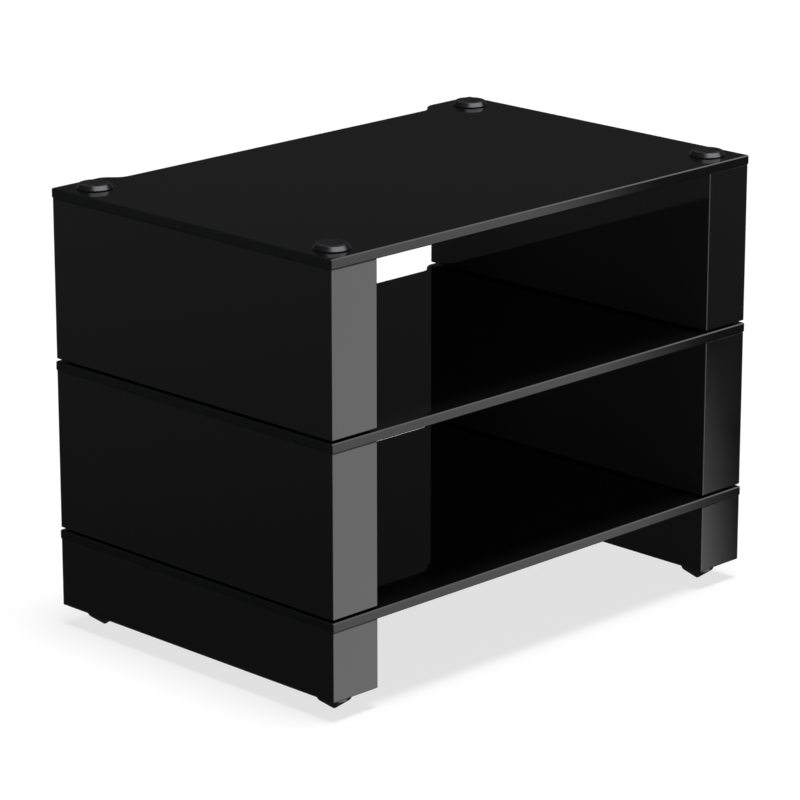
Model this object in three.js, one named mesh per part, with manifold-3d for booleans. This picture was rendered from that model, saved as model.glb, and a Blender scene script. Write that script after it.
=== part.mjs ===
import * as THREE from 'three';
import { RoundedBoxGeometry } from 'three/addons/geometries/RoundedBoxGeometry.js';
import { mergeVertices } from 'three/addons/utils/BufferGeometryUtils.js';
import Module from 'manifold-3d';

// Audio equipment rack in black gloss: a low base and two taller modules stacked on it.
// A module is a pair of thick side panels with a shelf on top. At each corner a tie rod clamps
// a puck, the shelf, the panel and a cone foot together. The base stands on its cone feet.
// The feet of the other modules sit in pockets in their panels and rest in the pucks below.
// Lengths are in millimetres. X runs to the right, Y to the back and Z up.
// The origin is on the floor under the middle of the rack.

// Shelf, with a notch in its rear edge that lets cables pass between the bays.
const SHELF_WIDTH = 690;
const SHELF_DEPTH = 460;
const SHELF_THICKNESS = 11.5;
const SHELF_BEVEL = 1.2;
const SHELF_CORNER_RADIUS = 2;
const NOTCH_DEPTH = 17.2;
const NOTCH_STEP_WIDTH = 34;
const NOTCH_STEP_OFFSET = 15;

// Side panels.
const PANEL_THICKNESS = 69;
const PANEL_INSET = 1;
const PANEL_EDGE_RADIUS = 1.2;
const BASE_PANEL_HEIGHT = 82;
const MODULE_PANEL_HEIGHT = 191.5;
const MODULE_GAP = 3;
const POCKET_CLEARANCE = 2;

// Cone foot: a disc under the panel that tapers to a blunt tip, with one groove in the cone.
const FOOT_RADIUS = 19.5;
const FOOT_HEIGHT = 23.5;
const FOOT_CONE_HEIGHT = 12.7;
const FOOT_TIP_RADIUS = 1.8;
const FOOT_GROOVE_HEIGHT = 8;
const FOOT_GROOVE_WIDTH = 0.9;
const FOOT_GROOVE_DEPTH = 0.5;

// Puck: a turned disc with a sloping side and a shallow conical dish, undercut where it stands
// on the shelf, and a threaded boss that centres it in the shelf's hole.
const PUCK_RADIUS = 21;
const PUCK_HEIGHT = 6;
const PUCK_SLOPE_WIDTH = 2.8;
const PUCK_SLOPE_HEIGHT = 4.75;
const PUCK_UNDERCUT_HEIGHT = 0.5;
const PUCK_UNDERCUT_DEPTH = 0.6;
const DISH_RIM_WIDTH = 4;
const DISH_DEPTH = 2.5;
const DISH_SEAT_CLEARANCE = 0.4;
const BOSS_RADIUS = 8;
const BOSS_END_CLEARANCE = 3.5;
const PUCK_ROOF = 3;

// Tie rod, threaded into the puck's boss and the foot.
const ROD_RADIUS = 4;
const ROD_DEPTH_IN_FOOT = 12;
const ROD_HOLE_CLEARANCE = 0.5;

// Play of a thread or a turned fit, and how far a cutter runs past the face it opens.
const FIT_CLEARANCE = 0.3;
const CUT_OVERRUN = 1;

// Facets.
const ROUND_SEGMENTS = 24;
const HOLE_SEGMENTS = 16;
const ROD_SEGMENTS = 12;
const OUTLINE_STEPS = 5;

const QUARTER_TURN = Math.PI / 2;

// The corner axes run up through the middle of the panels, as far in from the shelf's sides
// as from its front and rear edges.
const axisInset = PANEL_INSET + PANEL_THICKNESS / 2;
const axisX = SHELF_WIDTH / 2 - axisInset;
const axisY = SHELF_DEPTH / 2 - axisInset;
const corners = [
  { name: 'front_left', x: -axisX, y: -axisY },
  { name: 'front_right', x: axisX, y: -axisY },
  { name: 'rear_left', x: -axisX, y: axisY },
  { name: 'rear_right', x: axisX, y: axisY },
];
const panelDepth = SHELF_DEPTH - 2 * PANEL_INSET;
const panelInnerX = axisX - PANEL_THICKNESS / 2;

// Heights above the shelf that a puck stands on.
const seatHeight = PUCK_HEIGHT - DISH_DEPTH;
const rodTopHeight = seatHeight - PUCK_ROOF;

// A pocket is as deep as it takes to leave the module gap once the foot's tip is in the dish.
const pocketDepth = FOOT_HEIGHT + seatHeight - MODULE_GAP;
const pocketRadius = Math.max(PUCK_RADIUS, FOOT_RADIUS) + POCKET_CLEARANCE;

const lacquer = new THREE.MeshStandardMaterial({ color: '#0d0d0e', roughness: 0.08, metalness: 0 });
const shelfGlass = new THREE.MeshStandardMaterial({ color: '#08080a', roughness: 0.04, metalness: 0 });
const blackMetal = new THREE.MeshStandardMaterial({ color: '#26262a', roughness: 0.22, metalness: 1 });
const zincSteel = new THREE.MeshStandardMaterial({ color: '#a9abae', roughness: 0.4, metalness: 1 });

const wasm = await Module();
wasm.setup();

// Joins the vertices that share a place and drops the triangles that this leaves without area.
function weld(geometry) {
  const bare = geometry.clone();
  bare.deleteAttribute('normal');
  bare.deleteAttribute('uv');
  const welded = mergeVertices(bare);
  const indices = welded.index.array;
  const kept = [];
  for (let first = 0; first < indices.length; first += 3) {
    const [a, b, c] = indices.slice(first, first + 3);
    if (a !== b && b !== c && c !== a) {
      kept.push(a, b, c);
    }
  }
  welded.setIndex(kept);
  return welded;
}

function toSolid(geometry) {
  const welded = weld(geometry);
  return new wasm.Manifold(new wasm.Mesh({
    numProp: 3,
    vertProperties: new Float32Array(welded.attributes.position.array),
    triVerts: new Uint32Array(welded.index.array),
  }));
}

function toGeometry(solid) {
  const mesh = solid.getMesh();
  const geometry = new THREE.BufferGeometry();
  geometry.setAttribute('position', new THREE.BufferAttribute(mesh.vertProperties, mesh.numProp));
  geometry.setIndex(new THREE.BufferAttribute(mesh.triVerts, 1));
  const faceted = geometry.toNonIndexed();
  faceted.computeVertexNormals();
  return faceted;
}

function cut(geometry, cutters) {
  let solid = toSolid(geometry);
  for (const cutter of cutters) {
    solid = solid.subtract(toSolid(cutter));
  }
  return toGeometry(solid);
}

// An upright cylinder from one height to another, on an axis at x, y.
function uprightCylinder(radius, bottom, top, segments, x = 0, y = 0) {
  const cylinder = new THREE.CylinderGeometry(radius, radius, top - bottom, segments);
  cylinder.rotateX(QUARTER_TURN);
  cylinder.translate(x, y, (bottom + top) / 2);
  return cylinder;
}

// Turns a profile of [radius, height] points about the Z axis.
function turned(profile) {
  const points = profile.map(([radius, height]) => new THREE.Vector2(radius, height));
  const lathe = new THREE.LatheGeometry(points, ROUND_SEGMENTS);
  lathe.rotateX(QUARTER_TURN);
  return toGeometry(toSolid(lathe));
}

// The shelf's plan, counterclockwise from its front left corner. The rear edge steps in by
// an S curve at each panel, whose middle lies a set distance in from the panel's inner face.
function shelfOutline() {
  const right = SHELF_WIDTH / 2;
  const rear = SHELF_DEPTH / 2;
  const corner = SHELF_CORNER_RADIUS;
  const notch = rear - NOTCH_DEPTH;
  const stepMiddle = panelInnerX - NOTCH_STEP_OFFSET;
  const outer = stepMiddle + NOTCH_STEP_WIDTH / 2;
  const inner = stepMiddle - NOTCH_STEP_WIDTH / 2;
  const outline = new THREE.Shape();
  outline.moveTo(corner - right, -rear);
  outline.lineTo(right - corner, -rear);
  outline.absarc(right - corner, corner - rear, corner, -QUARTER_TURN, 0);
  outline.lineTo(right, rear - corner);
  outline.absarc(right - corner, rear - corner, corner, 0, QUARTER_TURN);
  outline.lineTo(outer, rear);
  outline.bezierCurveTo(stepMiddle, rear, stepMiddle, notch, inner, notch);
  outline.lineTo(-inner, notch);
  outline.bezierCurveTo(-stepMiddle, notch, -stepMiddle, rear, -outer, rear);
  outline.lineTo(corner - right, rear);
  outline.absarc(corner - right, rear - corner, corner, QUARTER_TURN, 2 * QUARTER_TURN);
  outline.lineTo(-right, corner - rear);
  outline.absarc(corner - right, corner - rear, corner, 2 * QUARTER_TURN, 3 * QUARTER_TURN);
  return outline;
}

// Shelf with its underside at height 0 and a hole for the boss of each puck.
function shelfGeometry() {
  const slab = new THREE.ExtrudeGeometry(shelfOutline(), {
    depth: SHELF_THICKNESS - 2 * SHELF_BEVEL,
    bevelThickness: SHELF_BEVEL,
    bevelSize: SHELF_BEVEL,
    bevelOffset: -SHELF_BEVEL,
    bevelSegments: 1,
    curveSegments: OUTLINE_STEPS,
  });
  slab.translate(0, 0, SHELF_BEVEL);
  const holes = corners.map(({ x, y }) => uprightCylinder(
    BOSS_RADIUS + FIT_CLEARANCE, -CUT_OVERRUN, SHELF_THICKNESS + CUT_OVERRUN, HOLE_SEGMENTS, x, y));
  return cut(slab, holes);
}

// Panel with its underside at height 0, centred on the corner axes. A hole for the tie rod runs
// up through it at each end, and a panel that stands on pucks has a pocket there for the foot.
function panelGeometry(height, withPockets) {
  const slab = new RoundedBoxGeometry(PANEL_THICKNESS, panelDepth, height, 1, PANEL_EDGE_RADIUS);
  slab.translate(0, 0, height / 2);
  const cutters = [];
  for (const y of [-axisY, axisY]) {
    const hole = ROD_RADIUS + ROD_HOLE_CLEARANCE;
    cutters.push(uprightCylinder(hole, -CUT_OVERRUN, height + CUT_OVERRUN, HOLE_SEGMENTS, 0, y));
    if (withPockets) {
      cutters.push(uprightCylinder(pocketRadius, -CUT_OVERRUN, pocketDepth, ROUND_SEGMENTS, 0, y));
    }
  }
  return cut(slab, cutters);
}

// Puck with the face that stands on the shelf at height 0 and its boss below.
function puckGeometry() {
  const bore = ROD_RADIUS + FIT_CLEARANCE;
  const bossEnd = BOSS_END_CLEARANCE - SHELF_THICKNESS;
  return turned([
    [0, rodTopHeight],
    [bore, rodTopHeight],
    [bore, bossEnd],
    [BOSS_RADIUS, bossEnd],
    [BOSS_RADIUS, 0],
    [PUCK_RADIUS - PUCK_UNDERCUT_DEPTH, 0],
    [PUCK_RADIUS, PUCK_UNDERCUT_HEIGHT],
    [PUCK_RADIUS, PUCK_HEIGHT - PUCK_SLOPE_HEIGHT],
    [PUCK_RADIUS - PUCK_SLOPE_WIDTH, PUCK_HEIGHT],
    [PUCK_RADIUS - DISH_RIM_WIDTH, PUCK_HEIGHT],
    [FOOT_TIP_RADIUS + DISH_SEAT_CLEARANCE, seatHeight],
    [0, seatHeight],
  ]);
}

// Foot with its tip at height 0 and a blind threaded hole in its top.
function footGeometry() {
  const bore = ROD_RADIUS + FIT_CLEARANCE;
  const boreFloor = FOOT_HEIGHT - ROD_DEPTH_IN_FOOT;
  const taper = (FOOT_RADIUS - FOOT_TIP_RADIUS) / FOOT_CONE_HEIGHT;
  const coneRadius = (height) => FOOT_TIP_RADIUS + taper * height;
  const grooveTop = FOOT_GROOVE_HEIGHT + FOOT_GROOVE_WIDTH;
  return turned([
    [0, 0],
    [FOOT_TIP_RADIUS, 0],
    [coneRadius(FOOT_GROOVE_HEIGHT), FOOT_GROOVE_HEIGHT],
    [coneRadius(FOOT_GROOVE_HEIGHT) - FOOT_GROOVE_DEPTH, grooveTop],
    [coneRadius(grooveTop), grooveTop],
    [FOOT_RADIUS, FOOT_CONE_HEIGHT],
    [FOOT_RADIUS, FOOT_HEIGHT],
    [bore, FOOT_HEIGHT],
    [bore, boreFloor],
    [0, boreFloor],
  ]);
}

function namedMesh(name, geometry, material, x, y, z) {
  const mesh = new THREE.Mesh(geometry, material);
  mesh.name = name;
  mesh.position.set(x, y, z);
  return mesh;
}

const shelf = shelfGeometry();
const puck = puckGeometry();
const foot = footGeometry();

// One module as a group whose origin is at the underside of its panels.
function rackModule(name, panelHeight, footRoof) {
  const shelfTop = panelHeight + SHELF_THICKNESS;
  const footTip = footRoof - FOOT_HEIGHT;
  const rodBottom = footRoof - ROD_DEPTH_IN_FOOT;
  const rod = uprightCylinder(ROD_RADIUS, rodBottom, shelfTop + rodTopHeight, ROD_SEGMENTS);
  const panel = panelGeometry(panelHeight, footRoof > 0);
  const group = new THREE.Group();
  group.add(namedMesh(`${name}_panel_left`, panel, lacquer, -axisX, 0, 0));
  group.add(namedMesh(`${name}_panel_right`, panel, lacquer, axisX, 0, 0));
  group.add(namedMesh(`${name}_shelf`, shelf, shelfGlass, 0, 0, panelHeight));
  for (const corner of corners) {
    const { x, y } = corner;
    group.add(namedMesh(`${name}_puck_${corner.name}`, puck, blackMetal, x, y, shelfTop));
    group.add(namedMesh(`${name}_foot_${corner.name}`, foot, blackMetal, x, y, footTip));
    group.add(namedMesh(`${name}_tie_rod_${corner.name}`, rod, zincSteel, x, y, 0));
  }
  return group;
}

const base = rackModule('base', BASE_PANEL_HEIGHT, 0);
const middle = rackModule('middle', MODULE_PANEL_HEIGHT, pocketDepth);
const top = rackModule('top', MODULE_PANEL_HEIGHT, pocketDepth);

const modulePitch = MODULE_GAP + MODULE_PANEL_HEIGHT + SHELF_THICKNESS;
base.position.z = FOOT_HEIGHT;
middle.position.z = FOOT_HEIGHT + BASE_PANEL_HEIGHT + SHELF_THICKNESS + MODULE_GAP;
top.position.z = middle.position.z + modulePitch;

const rack = new THREE.Group();
rack.add(base, middle, top);

export default rack;
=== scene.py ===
# %% [markdown]
# # A black gloss audio rack
# This script dresses a finished model of an audio rack: three modules of thick lacquered side
# panels and thin black glass shelves, stacked on cone feet that stand in dished metal pucks.
# Black gloss has hardly any colour of its own. What the eye reads is what the surface mirrors,
# so most of the care goes into clean edges, true curves and the surroundings.

# %% Load the model
import math

import bmesh
import bpy
from mathutils import Matrix, Vector


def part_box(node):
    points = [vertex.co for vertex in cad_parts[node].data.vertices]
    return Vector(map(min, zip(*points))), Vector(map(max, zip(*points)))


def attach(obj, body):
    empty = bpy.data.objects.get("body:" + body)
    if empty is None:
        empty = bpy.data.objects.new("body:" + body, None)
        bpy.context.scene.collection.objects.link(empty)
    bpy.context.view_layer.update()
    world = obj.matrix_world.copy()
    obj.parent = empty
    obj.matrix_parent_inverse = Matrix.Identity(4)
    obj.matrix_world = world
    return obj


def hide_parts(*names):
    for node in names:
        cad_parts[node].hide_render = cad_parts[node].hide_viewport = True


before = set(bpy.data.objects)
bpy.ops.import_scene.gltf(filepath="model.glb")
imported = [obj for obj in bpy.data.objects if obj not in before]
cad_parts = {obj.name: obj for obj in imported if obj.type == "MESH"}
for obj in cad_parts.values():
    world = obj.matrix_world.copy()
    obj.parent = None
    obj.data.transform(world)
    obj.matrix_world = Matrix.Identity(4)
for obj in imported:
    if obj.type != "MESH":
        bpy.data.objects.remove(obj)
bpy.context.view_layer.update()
MM = 0.001

# %% [markdown]
# ## Small helpers
# Colours are written as the hex values of a paint program, and one function turns them into the
# linear light that Blender computes with. A second function adds a node to a tree, sets it and
# links it, so that each material below reads as a short recipe. An input goes by its name, or by
# its number, as i0 or i1, where a node has several inputs of one name.


# %% Colour and node helpers
def linear(hex_colour):
    channels = [int(hex_colour[i:i + 2], 16) / 255 for i in (1, 3, 5)]
    curve = [c / 12.92 if c <= 0.04045 else ((c + 0.055) / 1.055) ** 2.4 for c in channels]
    return (*curve, 1.0)


def add_node(tree, kind, settings=None, **inputs):
    """Adds a node. An input is a value, a node's output, or a node for its first output."""
    node = tree.nodes.new(kind)
    for name, value in (settings or {}).items():
        setattr(node, name, value)
    for name, value in inputs.items():
        key = int(name[1:]) if name[0] == "i" and name[1:].isdigit() else name.replace("_", " ")
        if isinstance(value, bpy.types.Node):
            value = value.outputs[0]
        if isinstance(value, bpy.types.NodeSocket):
            tree.links.new(value, node.inputs[key])
        else:
            node.inputs[key].default_value = value
    return node


def new_material(name):
    """A material with an empty node tree, and that tree."""
    material = bpy.data.materials.new(name)
    material.use_nodes = True
    material.node_tree.nodes.clear()
    return material, material.node_tree


SOFT_STEP = {"interpolation_type": "SMOOTHSTEP"}
print("middle grey in linear light:", [round(c, 4) for c in linear("#777777")])

# %% [markdown]
# ## Camera
# The camera stands at the front left corner and looks slightly down. Its place and its long
# lens were worked out from the rack's straight edges in the reference picture, so that every
# edge falls where it does there. A long lens keeps the uprights nearly parallel.

# %% Set the camera
CAMERA_PLACE_MM = Vector((-3147.0, -3124.0, 1588.4))
CAMERA_TURN = math.radians(-45.117)
CAMERA_PITCH = math.radians(-16.785)
CAMERA_ROLL = math.radians(-0.009)
LENS_MM = 175.99
SENSOR_WIDTH_MM = 36
VIEW_REACH_M = 200

camera = bpy.data.objects.new("camera", bpy.data.cameras.new("camera"))
bpy.context.scene.collection.objects.link(camera)
camera.data.sensor_width = SENSOR_WIDTH_MM
camera.data.lens = LENS_MM
camera.data.clip_end = VIEW_REACH_M
rolled = Matrix.Rotation(CAMERA_ROLL, 4, "Z")
tilted = Matrix.Rotation(math.pi / 2 + CAMERA_PITCH, 4, "X") @ rolled
turned_round = Matrix.Rotation(CAMERA_TURN, 4, "Z") @ tilted
camera.matrix_world = Matrix.Translation(CAMERA_PLACE_MM * MM) @ turned_round
bpy.context.scene.camera = camera
bpy.context.scene.view_settings.view_transform = "Standard"
print("camera distance in m:", round((CAMERA_PLACE_MM * MM).length, 2))

# %% [markdown]
# ## Floor
# Catalogue pictures with a white ground are often shot on a light table: a white top that is
# lit from below, so that only a faint shadow is left. The floor here is such a table. Most of its
# brightness is its own glow, and the rest is plain white paint that takes the lamps' shadow.
# In the reference picture the rack's gloss shows no pale floor: its sides are almost black. So
# the table stays out of mirror images, and the painted studio stands in for what they show.

# %% Make the floor
FLOOR_RADIUS_M = 60.0
FLOOR_GLOW = 0.74
FLOOR_STEPS = 128

floor_mesh = bpy.data.meshes.new("floor")
shape = bmesh.new()
bmesh.ops.create_circle(shape, cap_ends=True, segments=FLOOR_STEPS, radius=FLOOR_RADIUS_M)
shape.to_mesh(floor_mesh)
shape.free()
floor = bpy.data.objects.new("floor", floor_mesh)
bpy.context.scene.collection.objects.link(floor)
floor.visible_glossy = False

paint, tree = new_material("white light table")
white = linear("#ffffff")
glow = add_node(tree, "ShaderNodeEmission", Color=white, Strength=FLOOR_GLOW)
paint_colour = [c * (1 - FLOOR_GLOW) for c in white[:3]] + [1]
dull = add_node(tree, "ShaderNodeBsdfDiffuse", Color=paint_colour)
both = add_node(tree, "ShaderNodeAddShader", i0=glow, i1=dull)
add_node(tree, "ShaderNodeOutputMaterial", Surface=both)
floor_mesh.materials.append(paint)
print("floor radius in m:", FLOOR_RADIUS_M)

# %% [markdown]
# ## Studio
# Black gloss shows its surroundings, so the world is the studio, painted by direction. The room is
# dim, with a paler wall round the horizon and a little light from the ceiling. A large round
# light card stands low in front. The polished fronts mirror it, and its right rim is the edge
# that fades across them from left to right. The card ends below the horizon, so that nothing
# that looks up mirrors it. Each light fades in or out between two heights, in degrees.

# %% Paint the studio
LOW_ROOM_LIGHT = 0.02
WALL_LIGHT = 0.12
ROOM_LIGHT = 0.04
CEILING_LIGHT = 0.12
CARD_LIGHT = 2.55
CARD_CENTRE = (0.229, -0.894, -0.386)
CARD_RADIUS = 33.0
CARD_BLUR = 1.23
WALL_FOOT = (-20.5, -11)
WALL_TOP = (6.5, 10)
CEILING_START = (18, 60)
CARD_TOP = (-8, 0)


def sine(degrees):
    return math.sin(math.radians(degrees))


def cosine(degrees):
    return math.cos(math.radians(degrees))


world = bpy.data.worlds.new("studio")
world.use_nodes = True
bpy.context.scene.world = world
tree = world.node_tree
tree.nodes.clear()
direction = add_node(tree, "ShaderNodeTexCoord").outputs["Generated"]
height = add_node(tree, "ShaderNodeSeparateXYZ", Vector=direction).outputs["Z"]
foot_of_wall = add_node(tree, "ShaderNodeMapRange", SOFT_STEP, Value=height,
                        From_Min=sine(WALL_FOOT[0]), From_Max=sine(WALL_FOOT[1]),
                        To_Min=LOW_ROOM_LIGHT, To_Max=WALL_LIGHT)
top_of_wall = add_node(tree, "ShaderNodeMapRange", SOFT_STEP, Value=height,
                       From_Min=sine(WALL_TOP[0]), From_Max=sine(WALL_TOP[1]),
                       To_Min=0.0, To_Max=ROOM_LIGHT - WALL_LIGHT)
ceiling = add_node(tree, "ShaderNodeMapRange", SOFT_STEP, Value=height,
                   From_Min=sine(CEILING_START[0]), From_Max=sine(CEILING_START[1]),
                   To_Min=0.0, To_Max=CEILING_LIGHT - ROOM_LIGHT)
room = add_node(tree, "ShaderNodeMath", {"operation": "ADD"}, i0=foot_of_wall, i1=top_of_wall)
room = add_node(tree, "ShaderNodeMath", {"operation": "ADD"}, i0=room, i1=ceiling)
towards_card = add_node(tree, "ShaderNodeVectorMath", {"operation": "DOT_PRODUCT"}, i0=direction,
                        i1=CARD_CENTRE).outputs["Value"]
card = add_node(tree, "ShaderNodeMapRange", SOFT_STEP, Value=towards_card,
                From_Min=cosine(CARD_RADIUS + CARD_BLUR), From_Max=cosine(CARD_RADIUS - CARD_BLUR),
                To_Min=0.0, To_Max=CARD_LIGHT)
top_of_card = add_node(tree, "ShaderNodeMapRange", SOFT_STEP, Value=height,
                       From_Min=sine(CARD_TOP[0]), From_Max=sine(CARD_TOP[1]),
                       To_Min=1.0, To_Max=0.0)
card = add_node(tree, "ShaderNodeMath", {"operation": "MULTIPLY"}, i0=card, i1=top_of_card)
total = add_node(tree, "ShaderNodeMath", {"operation": "MAXIMUM"}, i0=room, i1=card)
sky = add_node(tree, "ShaderNodeBackground", Color=(1, 1, 1, 1), Strength=total)
add_node(tree, "ShaderNodeOutputWorld", Surface=sky)
print("studio nodes:", len(tree.nodes))

# %% [markdown]
# ## Lamps
# Two lamps light the paint and cast the shadow: a wide one overhead and a low one from the front
# left, which reaches into the bays. A third shows only in the gloss. It is a very large card that
# hangs high in front. The shelves' ground edges mirror it as a bright line, and the pucks'
# sloping sides as a bright patch. Sun lamps with a wide angle serve as soft boxes here, because
# they shine the same on every part of the rack.


# %% Hang the lamps
def soft_lamp(name, towards, width, power, in_gloss, on_paint):
    """A far lamp in a direction, which looks as wide as the given angle in degrees."""
    lamp = bpy.data.objects.new(name, bpy.data.lights.new(name, "SUN"))
    lamp.data.energy = power
    lamp.data.angle = math.radians(width)
    lamp.rotation_mode = "QUATERNION"
    lamp.rotation_quaternion = Vector(towards).to_track_quat("Z", "Y")
    lamp.visible_glossy = in_gloss
    lamp.visible_diffuse = on_paint
    bpy.context.scene.collection.objects.link(lamp)


soft_lamp("overhead_lamp", (0.03, -0.08, 1), width=18, power=3.1, in_gloss=False, on_paint=True)
soft_lamp("front_left_lamp", (-0.85, -0.53, 0.02), width=14, power=2.1, in_gloss=False,
          on_paint=True)
soft_lamp("high_card", (0.164, -0.407, 0.899), width=84, power=5.63, in_gloss=True,
          on_paint=False)

# %% [markdown]
# ## Polished black lacquer
# The side panels are fibreboard under polyester lacquer, sprayed on thick, sanded flat and
# polished. The colour is nearly black, and the look is a clear mirror image at a few percent.
# Sprayed lacquer is never quite flat: a shallow waviness, the orange peel, stays in it, about
# 5 mm from crest to crest and a few thousandths of a millimetre deep. Polishing leaves a haze
# that comes and goes over a hand's width. On the rounded edges the polish is a little duller,
# and the edges are also painted a shade lighter than the faces, a painted highlight. A panel's
# faces all lie along the axes, so where the largest part of the normal drops below 1 there is an
# edge.

# %% Lacquer material
ORANGE_PEEL_MM = 5
ORANGE_PEEL_DEPTH_MM = 0.002
HAZE_MM = 90
HAZE_ROUGHNESS = (0.02, 0.045)
EDGE_ROUGHNESS = 0.06
EDGE_NORMAL = (0.9, 0.999)
NOISE_SPAN = (0.3, 0.7)  # most values of a noise texture lie in here

lacquer, tree = new_material("polished black lacquer")
place = add_node(tree, "ShaderNodeTexCoord").outputs["Object"]
peel = add_node(tree, "ShaderNodeTexNoise", Vector=place, Scale=1 / (ORANGE_PEEL_MM * MM),
                Detail=2.0)
wavy = add_node(tree, "ShaderNodeBump", Height=peel, Strength=1.0,
                Distance=ORANGE_PEEL_DEPTH_MM * MM)
haze = add_node(tree, "ShaderNodeTexNoise", Vector=place, Scale=1 / (HAZE_MM * MM), Detail=4.0)
haze = add_node(tree, "ShaderNodeMapRange", SOFT_STEP, Value=haze, From_Min=NOISE_SPAN[0],
                From_Max=NOISE_SPAN[1], To_Min=HAZE_ROUGHNESS[0], To_Max=HAZE_ROUGHNESS[1])
normal = add_node(tree, "ShaderNodeNewGeometry").outputs["Normal"]
unsigned = add_node(tree, "ShaderNodeVectorMath", {"operation": "ABSOLUTE"}, i0=normal)
along_axes = add_node(tree, "ShaderNodeSeparateXYZ", Vector=unsigned).outputs
largest = add_node(tree, "ShaderNodeMath", {"operation": "MAXIMUM"}, i0=along_axes["X"],
                   i1=along_axes["Y"])
largest = add_node(tree, "ShaderNodeMath", {"operation": "MAXIMUM"}, i0=largest,
                   i1=along_axes["Z"])
edge = add_node(tree, "ShaderNodeMapRange", SOFT_STEP, Value=largest, From_Min=EDGE_NORMAL[0],
                From_Max=EDGE_NORMAL[1], To_Min=1.0, To_Max=0.0)
rough = add_node(tree, "ShaderNodeMath", {"operation": "MULTIPLY_ADD"}, i0=edge,
                 i1=EDGE_ROUGHNESS, i2=haze)
# Painted highlight: the rounded edges are painted a shade lighter than the flat faces.
tone = add_node(tree, "ShaderNodeMix", {"data_type": "RGBA"}, Factor=edge, i6=linear("#0f0f0f"),
                i7=linear("#141415"))
shader = add_node(tree, "ShaderNodeBsdfPrincipled", Base_Color=tone.outputs[2], Roughness=rough,
                  IOR=1.5, Normal=wavy)
add_node(tree, "ShaderNodeOutputMaterial", Surface=shader)
print("lacquer nodes:", len(tree.nodes))

# %% [markdown]
# ## Black tempered glass
# The shelves are float glass, coloured black and tempered. A float glass face is truly flat, so
# it mirrors without any waviness, but fingertips and wiping leave faint films, a few
# centimetres wide. The edges are ground and polished, and keep a trace of the wheel: fine lines
# along the edge. Real ones lie about 0.1 mm apart, and these are drawn 0.6 mm apart so that they
# can show. Glass usually has an IOR of 1.5. The picture shows a weaker mirror on both the top
# and the edge, and 1.315 fits the two.

# %% Glass material
FILM_MM = 45
GRIND_LINE_MM = 0.6
GRIND_LINE_LENGTH_MM = 30
FILM_NOISE_SPAN = (0.45, 0.75)  # starts near the middle, so that much of the glass stays clean
FILM_ROUGHNESS = (0.015, 0.05)
WHEEL_ROUGHNESS = (0.02, 0.06)
EDGE_FACING = (0.5, 0.95)

glass, tree = new_material("black tempered glass")
place = add_node(tree, "ShaderNodeTexCoord").outputs["Object"]
film = add_node(tree, "ShaderNodeTexNoise", Vector=place, Scale=1 / (FILM_MM * MM), Detail=5.0)
film = add_node(tree, "ShaderNodeMapRange", SOFT_STEP, Value=film, From_Min=FILM_NOISE_SPAN[0],
                From_Max=FILM_NOISE_SPAN[1], To_Min=FILM_ROUGHNESS[0],
                To_Max=FILM_ROUGHNESS[1])
normal = add_node(tree, "ShaderNodeNewGeometry").outputs["Normal"]
facing = add_node(tree, "ShaderNodeSeparateXYZ", Vector=normal).outputs["Z"]
flat = add_node(tree, "ShaderNodeMath", {"operation": "ABSOLUTE"}, i0=facing)
ground = add_node(tree, "ShaderNodeMapRange", SOFT_STEP, Value=flat, From_Min=EDGE_FACING[0],
                  From_Max=EDGE_FACING[1], To_Min=1.0, To_Max=0.0)
line_scale = [1 / (GRIND_LINE_LENGTH_MM * MM)] * 2 + [1 / (GRIND_LINE_MM * MM)]
stretched = add_node(tree, "ShaderNodeMapping", Vector=place, Scale=line_scale)
lines = add_node(tree, "ShaderNodeTexNoise", Vector=stretched, Scale=1.0, Detail=2.0)
wheel = add_node(tree, "ShaderNodeMath", {"operation": "MULTIPLY_ADD"}, i0=lines,
                 i1=WHEEL_ROUGHNESS[1] - WHEEL_ROUGHNESS[0], i2=WHEEL_ROUGHNESS[0])
rough = add_node(tree, "ShaderNodeMix", {"data_type": "FLOAT"}, Factor=ground, i2=film, i3=wheel)
tone = add_node(tree, "ShaderNodeMix", {"data_type": "RGBA"}, Factor=ground,
                i6=linear("#0e0e0f"), i7=linear("#0c0d0d"))
shader = add_node(tree, "ShaderNodeBsdfPrincipled", Base_Color=tone.outputs[2], Roughness=rough,
                  IOR=1.315)
add_node(tree, "ShaderNodeOutputMaterial", Surface=shader)
print("glass nodes:", len(tree.nodes))

# %% [markdown]
# ## Turned black anodised aluminium
# Pucks and feet are turned on a lathe and anodised black. The dye darkens the metal, and what is
# left is a soft metallic sheen with the lathe's fine rings in it. The dyed layer is no metal
# itself and scatters a little light, so the metallic value stays just under 1. Real rings are
# about 0.15 mm apart. They are drawn 0.5 mm apart, because finer ones would vanish in the
# picture. Each turned piece carries how far along its profile a point lies, and the rings are
# drawn from that. The etching before the dye bath leaves the sheen a little mottled, and the
# dye takes deeper in some patches than in others.

# %% Anodised aluminium material
RING_SPACING_MM = 0.5
RING_DEPTH_MM = 0.0008
GRAIN_MM = 1.5
DYE_PATCH_MM = 12
SATIN_ROUGHNESS = (0.22, 0.3)
DYED_METALLIC = 0.9
PROFILE_LENGTH = "profile_mm"

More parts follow.
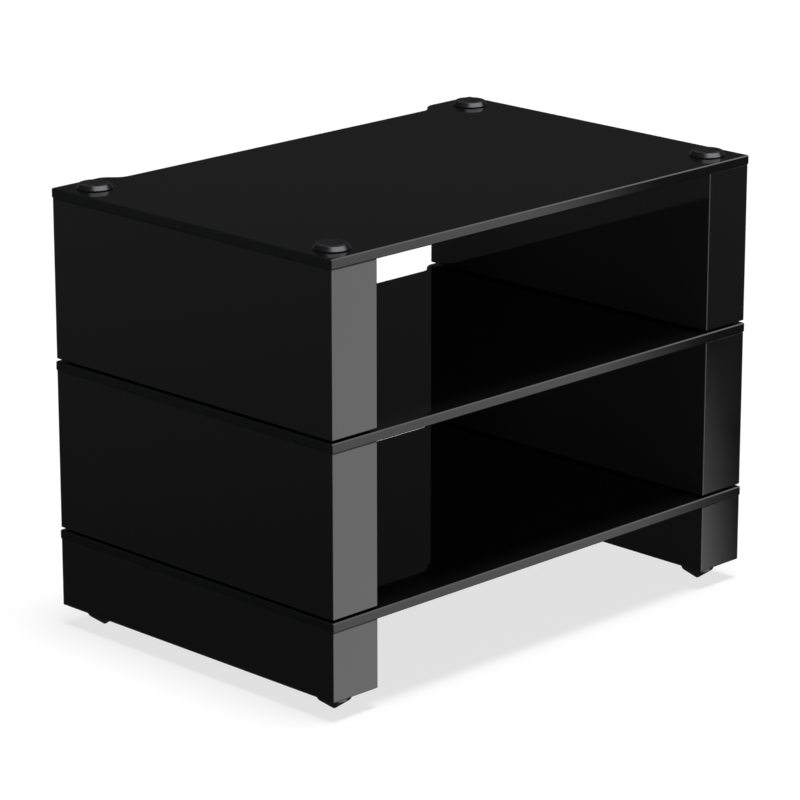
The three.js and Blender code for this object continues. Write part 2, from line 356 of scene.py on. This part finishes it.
anodised, tree = new_material("black anodised aluminium")
along = add_node(tree, "ShaderNodeAttribute", {"attribute_name": PROFILE_LENGTH}).outputs["Fac"]
turns = add_node(tree, "ShaderNodeMath", {"operation": "MULTIPLY"}, i0=along,
                 i1=math.tau / RING_SPACING_MM)
rings = add_node(tree, "ShaderNodeMath", {"operation": "SINE"}, i0=turns)
grooves = add_node(tree, "ShaderNodeBump", Height=rings, Strength=1.0,
                   Distance=RING_DEPTH_MM * MM)
place = add_node(tree, "ShaderNodeTexCoord").outputs["Object"]
grain = add_node(tree, "ShaderNodeTexNoise", Vector=place, Scale=1 / (GRAIN_MM * MM), Detail=3.0)
rough = add_node(tree, "ShaderNodeMapRange", SOFT_STEP, Value=grain, From_Min=NOISE_SPAN[0],
                 From_Max=NOISE_SPAN[1], To_Min=SATIN_ROUGHNESS[0], To_Max=SATIN_ROUGHNESS[1])
patches = add_node(tree, "ShaderNodeTexNoise", Vector=place, Scale=1 / (DYE_PATCH_MM * MM),
                   Detail=2.0)
dye = add_node(tree, "ShaderNodeMix", {"data_type": "RGBA"}, Factor=patches,
               i6=linear("#3a3a3c"), i7=linear("#434346"))
shader = add_node(tree, "ShaderNodeBsdfPrincipled", Base_Color=dye.outputs[2], Roughness=rough,
                  Metallic=DYED_METALLIC, Normal=grooves)
add_node(tree, "ShaderNodeOutputMaterial", Surface=shader)
print("anodised nodes:", len(tree.nodes))

# %% [markdown]
# ## Zinc plated steel
# The tie rods inside the panels are common zinc plated threaded rod: a pale, slightly blue grey
# metal whose crystals make a faint mottle of a few millimetres.

# %% Zinc material
SPANGLE_MM = 3
PLATING_ROUGHNESS = (0.32, 0.48)

zinc, tree = new_material("zinc plated steel")
place = add_node(tree, "ShaderNodeTexCoord").outputs["Object"]
mottle = add_node(tree, "ShaderNodeTexNoise", Vector=place, Scale=1 / (SPANGLE_MM * MM),
                  Detail=3.0)
tone = add_node(tree, "ShaderNodeMix", {"data_type": "RGBA"}, Factor=mottle,
                i6=linear("#9da1a6"), i7=linear("#b9bcbf"))
rough = add_node(tree, "ShaderNodeMapRange", SOFT_STEP, Value=mottle, From_Min=NOISE_SPAN[0],
                 From_Max=NOISE_SPAN[1], To_Min=PLATING_ROUGHNESS[0],
                 To_Max=PLATING_ROUGHNESS[1])
shader = add_node(tree, "ShaderNodeBsdfPrincipled", Base_Color=tone.outputs[2], Roughness=rough,
                  Metallic=1.0)
add_node(tree, "ShaderNodeOutputMaterial", Surface=shader)
print("zinc nodes:", len(tree.nodes))

# %% [markdown]
# ## Making flat pieces
# Panels and shelves are slabs with holes. A slab is drawn as loops of points in plan: the outline
# and each hole. Blender fills the space between the loops at the bottom and the top, and the
# walls are quads between the two. A bevel then rounds or cuts every sharp edge. Smooth shading
# would bend the reflections near each edge, as if the faces bulged. The Weighted Normal modifier
# lets the large faces win, so they stay truly flat, which a mirror needs.

# %% Loops and slabs
HOLE_STEPS = 72
BEVEL_FROM_ANGLE = math.radians(40)
SHARP_FROM_ANGLE = math.radians(35)
FLAT_FACE_WEIGHT = 90


def circle_loop(x, y, radius):
    angles = [math.tau * step / HOLE_STEPS for step in range(HOLE_STEPS)]
    return [(x + radius * math.cos(a), y + radius * math.sin(a)) for a in angles]


def loop_edges(shape, points, z):
    """Adds a closed loop of points at a height and returns its vertices and edges."""
    corners = [shape.verts.new((x, y, z)) for x, y in points]
    edges = [shape.edges.new((corner, corners[i - 1])) for i, corner in enumerate(corners)]
    return corners, edges


def wall(shape, below, above):
    for i in range(len(below)):
        shape.faces.new((below[i - 1], below[i], above[i], above[i - 1]))


def fill(shape, edges):
    bmesh.ops.triangle_fill(shape, use_beauty=True, use_dissolve=False, edges=edges)


def bevel_sharp_edges(shape, width_mm, steps):
    edges = [edge for edge in shape.edges if edge.calc_face_angle(0) > BEVEL_FROM_ANGLE]
    bmesh.ops.bevel(shape, geom=edges, offset=width_mm * MM, offset_type="OFFSET", segments=steps,
                    profile=0.5, affect="EDGES", clamp_overlap=False)


def finish_piece(name, shape, material, body, replaced):
    """Turns a drawn shape into a piece of the rack that stands for its CAD node."""
    mesh = bpy.data.meshes.new(name)
    shape.to_mesh(mesh)
    shape.free()
    mesh.materials.append(material)
    mesh.shade_smooth()
    mesh.set_sharp_from_angle(angle=SHARP_FROM_ANGLE)
    piece = bpy.data.objects.new(name, mesh)
    bpy.context.scene.collection.objects.link(piece)
    flat_faces = piece.modifiers.new("flat faces", "WEIGHTED_NORMAL")
    flat_faces.keep_sharp = True
    flat_faces.weight = FLAT_FACE_WEIGHT
    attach(piece, body)
    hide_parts(replaced)
    return piece


print("corners round a hole:", HOLE_STEPS)

# %% [markdown]
# ## Side panels
# Each panel is a block with softly rounded edges, the most that a sprayed coat will hold. The
# panels of the two upper modules have a round pocket under each end, where the foot hangs, and
# every panel has the tie rod's hole there. The pockets are hidden until a module is lifted.
# From here on, every round thing is given by its radius.

# %% Build the panels
PANEL_EDGE_MM = 1.2
PANEL_EDGE_STEPS = 4
ROD_HOLE_MM = 4.5
POCKET_MM = 23.0
CORNERS = ("front_left", "front_right", "rear_left", "rear_right")
MODULES = ("base", "middle", "top")


def middle_of(node):
    low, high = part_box(node)
    return (low + high) / 2


def build_panel(module, side):
    node = f"{module}_panel_{side}"
    low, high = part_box(node)
    feet = [f"{module}_foot_{end}_{side}" for end in ("front", "rear")]
    pocket_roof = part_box(feet[0])[1].z
    shape = bmesh.new()
    outline = [(low.x, low.y), (high.x, low.y), (high.x, high.y), (low.x, high.y)]
    below, bottom_edges = loop_edges(shape, outline, low.z)
    above, top_edges = loop_edges(shape, outline, high.z)
    wall(shape, below, above)
    roof_edges = []
    for foot in feet:
        centre = middle_of(foot)
        rod_loop = circle_loop(centre.x, centre.y, ROD_HOLE_MM * MM)
        rod_top, edges = loop_edges(shape, rod_loop, high.z)
        top_edges += edges
        if module == "base":
            rod_bottom, edges = loop_edges(shape, rod_loop, low.z)
            bottom_edges += edges
        else:
            pocket_loop = circle_loop(centre.x, centre.y, POCKET_MM * MM)
            mouth, edges = loop_edges(shape, pocket_loop, low.z)
            bottom_edges += edges
            roof, edges = loop_edges(shape, pocket_loop, pocket_roof)
            wall(shape, mouth, roof)
            rod_bottom, rod_edges = loop_edges(shape, rod_loop, pocket_roof)
            roof_edges.append(edges + rod_edges)
        wall(shape, rod_bottom, rod_top)
    for edges in [bottom_edges, top_edges, *roof_edges]:
        fill(shape, edges)
    bmesh.ops.recalc_face_normals(shape, faces=shape.faces)
    bevel_sharp_edges(shape, PANEL_EDGE_MM, PANEL_EDGE_STEPS)
    return finish_piece(f"{module}_side_{side}", shape, lacquer, f"{module}_module",
                        node)


panels = [build_panel(module, side) for module in MODULES for side in ("left", "right")]
print("panels:", len(panels))

# %% [markdown]
# ## Shelves
# A shelf is a sheet of glass with small rounded corners and a long shallow notch in its rear edge
# for cables. The notch ends in S curves, drawn as one cubic curve each, whose middles lie a set
# distance in from the panels' inner faces. The arris is cut flat by a grinding wheel, so it is
# a plain narrow bevel that catches the light as a thin line.

# %% Build the shelves
SHELF_CORNER_MM = 2.0
SHELF_BEVEL_MM = 1.2
NOTCH_DEPTH_MM = 17.2
NOTCH_STEP_MM = 34.0
NOTCH_STEP_OFFSET_MM = 15.0
BOSS_HOLE_MM = 8.3
CORNER_STEPS = 8
CURVE_STEPS = 24


def arc(x, y, radius, start):
    """A quarter turn of points about a centre, counterclockwise."""
    angles = [start + math.pi / 2 * step / CORNER_STEPS for step in range(CORNER_STEPS + 1)]
    return [(x + radius * math.cos(a), y + radius * math.sin(a)) for a in angles]


def s_curve(start, end):
    """A step between two points that leaves and arrives along X."""
    middle_x = (start[0] + end[0]) / 2
    points = []
    for step in range(CURVE_STEPS + 1):
        t = step / CURVE_STEPS
        near, far = 3 * t * (1 - t) ** 2, 3 * t ** 2 * (1 - t)
        x = start[0] * (1 - t) ** 3 + middle_x * (near + far) + end[0] * t ** 3
        y = start[1] * ((1 - t) ** 3 + near) + end[1] * (far + t ** 3)
        points.append((x, y))
    return points


def shelf_outline(low, high, step_x):
    radius, depth, half_step = SHELF_CORNER_MM * MM, NOTCH_DEPTH_MM * MM, NOTCH_STEP_MM * MM / 2
    left, right = low.x + radius, high.x - radius
    front, rear = low.y + radius, high.y - radius
    outline = arc(left, front, radius, math.pi) + arc(right, front, radius, -math.pi / 2)
    outline += arc(right, rear, radius, 0)
    outline += s_curve((step_x + half_step, high.y), (step_x - half_step, high.y - depth))
    outline += s_curve((half_step - step_x, high.y - depth), (-step_x - half_step, high.y))
    outline += arc(left, rear, radius, math.pi / 2)
    return outline


def build_shelf(module):
    node = f"{module}_shelf"
    low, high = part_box(node)
    panel_inner_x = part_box(f"{module}_panel_right")[0].x
    shape = bmesh.new()
    loops = [shelf_outline(low, high, panel_inner_x - NOTCH_STEP_OFFSET_MM * MM)]
    for corner in CORNERS:
        centre = middle_of(f"{module}_puck_{corner}")
        loops.append(circle_loop(centre.x, centre.y, BOSS_HOLE_MM * MM))
    bottom_edges, top_edges = [], []
    for loop in loops:
        below, edges = loop_edges(shape, loop, low.z)
        bottom_edges += edges
        above, edges = loop_edges(shape, loop, high.z)
        top_edges += edges
        wall(shape, below, above)
    fill(shape, bottom_edges)
    fill(shape, top_edges)
    bmesh.ops.recalc_face_normals(shape, faces=shape.faces)
    bevel_sharp_edges(shape, SHELF_BEVEL_MM, 1)
    return finish_piece(f"{module}_glass_shelf", shape, glass, f"{module}_module",
                        node)


shelves = [build_shelf(module) for module in MODULES]
print("shelves:", len(shelves))

# %% [markdown]
# ## Turned pieces
# A puck or a foot is one profile turned about its axis, so it is drawn as points of radius and
# height. The turning function also writes how far along the profile each point lies, in
# millimetres, which the anodised finish needs for its rings. Its edges are small arcs, because
# a turned edge is broken with a file and never comes to a knife edge.

# %% Turning
TURN_STEPS = 96
EDGE_STEPS = 5


def round_over(centre, radius, start, sweep=90):
    """An arc of a profile about a centre, clockwise from a start angle, in degrees."""
    angles = [math.radians(start - sweep * step / EDGE_STEPS) for step in range(EDGE_STEPS + 1)]
    return [(centre[0] + radius * math.cos(a), centre[1] + radius * math.sin(a)) for a in angles]


def turned(name, profile, place, body, replaced):
    """Turns a profile of (radius, height) in mm about an upright axis through a place."""
    shape = bmesh.new()
    layer = shape.verts.layers.float.new(PROFILE_LENGTH)
    rings, length, previous = [], 0.0, profile[0]
    for radius, height in profile:
        length += math.dist(previous, (radius, height))
        previous = (radius, height)
        count = TURN_STEPS if radius > 0 else 1
        ring = []
        for step in range(count):
            angle = math.tau * step / TURN_STEPS
            offset = Vector((radius * math.cos(angle), radius * math.sin(angle), height)) * MM
            vertex = shape.verts.new(place + offset)
            vertex[layer] = length
            ring.append(vertex)
        rings.append(ring)
    for inner, outer in zip(rings, rings[1:]):
        for step in range(TURN_STEPS):
            near, far = step, (step + 1) % TURN_STEPS
            quad = [inner[near % len(inner)], inner[far % len(inner)], outer[far % len(outer)],
                    outer[near % len(outer)]]
            corners = list(dict.fromkeys(quad))
            if len(corners) > 2:
                shape.faces.new(corners)
    bmesh.ops.recalc_face_normals(shape, faces=shape.faces)
    return finish_piece(name, shape, anodised, body, replaced)


print("corners round a turned piece:", TURN_STEPS)

# %% [markdown]
# ## Pucks
# A puck is a flat disc with a shallow cone turned into its top, where the tip of the next foot
# centres itself. Its side leans in from a low upright wall. An upright side would mirror the
# black shelf and vanish, and the leaning one mirrors the high card. A small undercut at the foot
# makes the puck seem to float. A boss with the thread goes down through the shelf.

# %% Build the pucks
PUCK_MM = 21.0
PUCK_SLOPE_MM = 2.8
PUCK_WALL_TOP_MM = 1.25
PUCK_BEND_MM = (0.1, 0.17)  # how far in and up the bend from wall to slope is softened
PUCK_EDGE_MM = 0.4
PUCK_UNDERCUT_HEIGHT_MM = 0.5
PUCK_UNDERCUT_MM = 0.6
PUCK_HEIGHT_MM = 6.0
DISH_RIM_MM = 4.0
DISH_LIP_MM = 0.15
DISH_DEPTH_MM = 2.5
DISH_SEAT_MM = 2.2
BOSS_MM = 8.0
BOSS_LENGTH_MM = 8.0
PUCK_BORE_MM = 4.3
PUCK_BORE_TOP_MM = 0.5


def puck_profile():
    dish_floor = PUCK_HEIGHT_MM - DISH_DEPTH_MM
    slope = math.atan2(PUCK_SLOPE_MM, PUCK_HEIGHT_MM - PUCK_WALL_TOP_MM)
    inset = PUCK_EDGE_MM * (1 - math.sin(slope)) / math.cos(slope)
    edge_centre = (PUCK_MM - PUCK_SLOPE_MM - inset, PUCK_HEIGHT_MM - PUCK_EDGE_MM)
    rim = PUCK_MM - DISH_RIM_MM
    bend_in, bend_up = PUCK_BEND_MM
    side = [(0, dish_floor), (DISH_SEAT_MM, dish_floor)]
    side += [(rim - DISH_LIP_MM, PUCK_HEIGHT_MM - DISH_LIP_MM / 5)]
    side += [(rim, PUCK_HEIGHT_MM), (rim + DISH_LIP_MM, PUCK_HEIGHT_MM)]
    side += round_over(edge_centre, PUCK_EDGE_MM, 90, 90 - math.degrees(slope))
    side += [(PUCK_MM - bend_in, PUCK_WALL_TOP_MM + bend_up)]
    side += [(PUCK_MM, PUCK_WALL_TOP_MM - bend_in), (PUCK_MM, PUCK_UNDERCUT_HEIGHT_MM)]
    side += [(PUCK_MM - PUCK_UNDERCUT_MM, 0), (BOSS_MM, 0), (BOSS_MM, -BOSS_LENGTH_MM)]
    side += [(PUCK_BORE_MM, -BOSS_LENGTH_MM), (PUCK_BORE_MM, PUCK_BORE_TOP_MM)]
    return side + [(0, PUCK_BORE_TOP_MM)]


def build_puck(module, corner):
    node = f"{module}_puck_{corner}"
    centre = middle_of(node)
    place = Vector((centre.x, centre.y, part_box(f"{module}_shelf")[1].z))
    return turned(f"{module}_dished_puck_{corner}", puck_profile(), place, f"{module}_module",
                  node)


pucks = [build_puck(module, corner) for module in MODULES for corner in CORNERS]
print("pucks:", len(pucks))

# %% [markdown]
# ## Feet
# A foot is a disc that tapers to a blunt tip, with one fine groove round the cone. The disc bears
# against the panel, and the tip carries the load down to a point that can't rock.

# %% Build the feet
FOOT_MM = 19.5
FOOT_HEIGHT_MM = 23.5
FOOT_CONE_MM = 12.7
FOOT_TIP_MM = 1.8
FOOT_EDGE_MM = 0.6
FOOT_GROOVE_HEIGHT_MM = 8.0
FOOT_GROOVE_WIDTH_MM = 0.9
FOOT_GROOVE_DEPTH_MM = 0.5
FOOT_BORE_MM = 4.3
FOOT_BORE_FLOOR_MM = 11.5


def cone_radius(height):
    return FOOT_TIP_MM + (FOOT_MM - FOOT_TIP_MM) * height / FOOT_CONE_MM


def foot_profile():
    groove, groove_top = FOOT_GROOVE_HEIGHT_MM, FOOT_GROOVE_HEIGHT_MM + FOOT_GROOVE_WIDTH_MM
    soft = FOOT_EDGE_MM
    side = [(0, FOOT_BORE_FLOOR_MM), (FOOT_BORE_MM, FOOT_BORE_FLOOR_MM)]
    side += [(FOOT_BORE_MM, FOOT_HEIGHT_MM), (FOOT_MM - soft, FOOT_HEIGHT_MM)]
    side += round_over((FOOT_MM - soft, FOOT_HEIGHT_MM - soft), soft, 90)
    side += [(FOOT_MM, FOOT_CONE_MM + soft), (FOOT_MM - soft / 4, FOOT_CONE_MM + soft / 4)]
    side += [(cone_radius(FOOT_CONE_MM - soft), FOOT_CONE_MM - soft)]
    side += [(cone_radius(groove_top), groove_top)]
    side += [(cone_radius(groove) - FOOT_GROOVE_DEPTH_MM, groove_top)]
    return side + [(cone_radius(groove), groove), (FOOT_TIP_MM, 0), (0, 0)]


def build_foot(module, corner):
    node = f"{module}_foot_{corner}"
    low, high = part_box(node)
    place = Vector(((low.x + high.x) / 2, (low.y + high.y) / 2, low.z))
    return turned(f"{module}_cone_foot_{corner}", foot_profile(), place, f"{module}_module", node)


feet = [build_foot(module, corner) for module in MODULES for corner in CORNERS]
print("feet:", len(feet))

# %% [markdown]
# ## Tie rods
# The rods run inside the panels and their shape is right as it is, so the model's own rods stay
# and only get their metal.

# %% Finish the tie rods
rods = [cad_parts[f"{module}_tie_rod_{corner}"] for module in MODULES for corner in CORNERS]
for rod in rods:
    rod.data.materials.clear()
    rod.data.materials.append(zinc)
print("tie rods:", len(rods))
